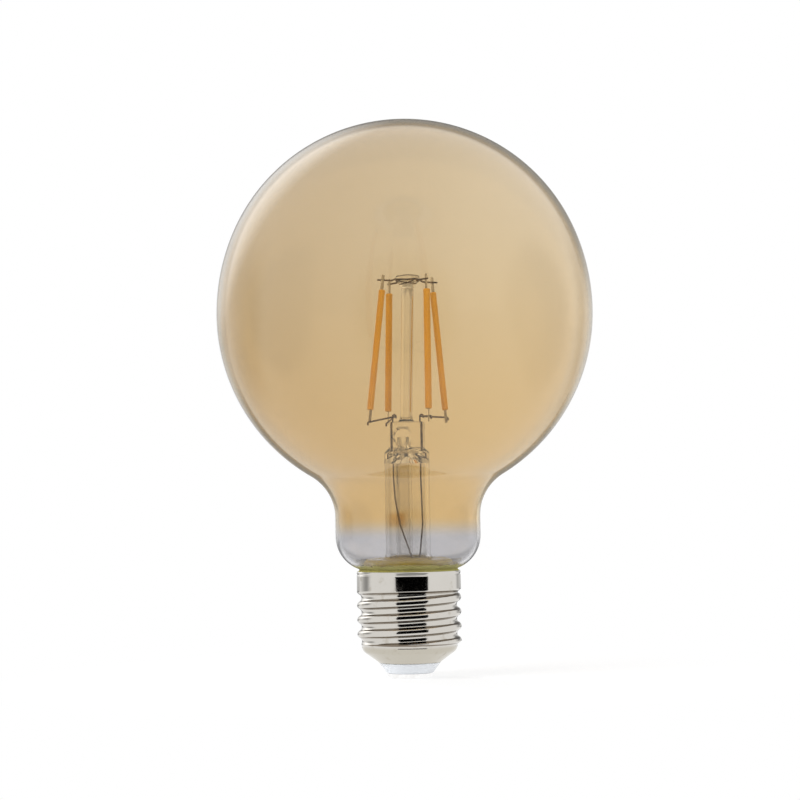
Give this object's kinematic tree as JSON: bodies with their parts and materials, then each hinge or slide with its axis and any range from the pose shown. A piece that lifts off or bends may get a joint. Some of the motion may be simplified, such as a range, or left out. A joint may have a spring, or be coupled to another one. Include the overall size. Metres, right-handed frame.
{
  "type": "globe bulb",
  "caption": "Large amber-coated globe lamp with upright LED filaments on a glass stem and a nickel-plated screw cap.",
  "frame": {"origin": "centre of the lower face of the centre contact, on the cap's axis", "axes": "+Z along the lamp's axis from the contact up through the globe, +X to the right seen from the front, -Y towards the front"},
  "size_m": [0.095, 0.095, 0.1407],
  "materials": {
    "amber_glass": "gloss",
    "clear_glass": "gloss",
    "lead_metal": "satin",
    "phosphor": "matte",
    "carrier_ceramic": "satin",
    "led_die": "gloss",
    "tab_metal": "satin",
    "cement": "matte",
    "nickel_plate": "gloss",
    "insulator_glaze": "gloss",
    "contact_metal": "gloss",
    "circuit_board": "satin",
    "moulding_black": "matte",
    "capacitor_sleeve": "gloss",
    "resistor_coating": "satin",
    "wire_sleeve": "satin"
  },
  "bodies": {
    "root": {"globe_envelope": "amber_glass", "stem_flare": "clear_glass", "exhaust_tube": "clear_glass", "support_rod": "clear_glass", "top_bridge_wire": "lead_metal", "left_lead_wire": "lead_metal", "right_lead_wire": "lead_metal", "left_support_bar": "lead_metal", "right_support_bar": "lead_metal", "filament_1_coating": "phosphor", "filament_1_strip": "carrier_ceramic", "filament_1_dies": "led_die", "filament_1_top_tab": "tab_metal", "filament_1_bottom_tab": "tab_metal", "filament_2_coating": "phosphor", "filament_2_strip": "carrier_ceramic", "filament_2_dies": "led_die", "filament_2_top_tab": "tab_metal", "filament_2_bottom_tab": "tab_metal", "filament_3_coating": "phosphor", "filament_3_strip": "carrier_ceramic", "filament_3_dies": "led_die", "filament_3_top_tab": "tab_metal", "filament_3_bottom_tab": "tab_metal", "filament_4_coating": "phosphor", "filament_4_strip": "carrier_ceramic", "filament_4_dies": "led_die", "filament_4_top_tab": "tab_metal", "filament_4_bottom_tab": "tab_metal", "basing_cement": "cement", "screw_shell": "nickel_plate", "base_insulator": "insulator_glaze", "centre_contact": "contact_metal", "driver_board": "circuit_board", "bridge_rectifier": "moulding_black", "driver_chip": "moulding_black", "smoothing_capacitor": "capacitor_sleeve", "fusible_resistor": "resistor_coating", "sense_resistors": "moulding_black", "live_wire": "wire_sleeve", "neutral_wire": "wire_sleeve"}
  },
  "joints": []
}
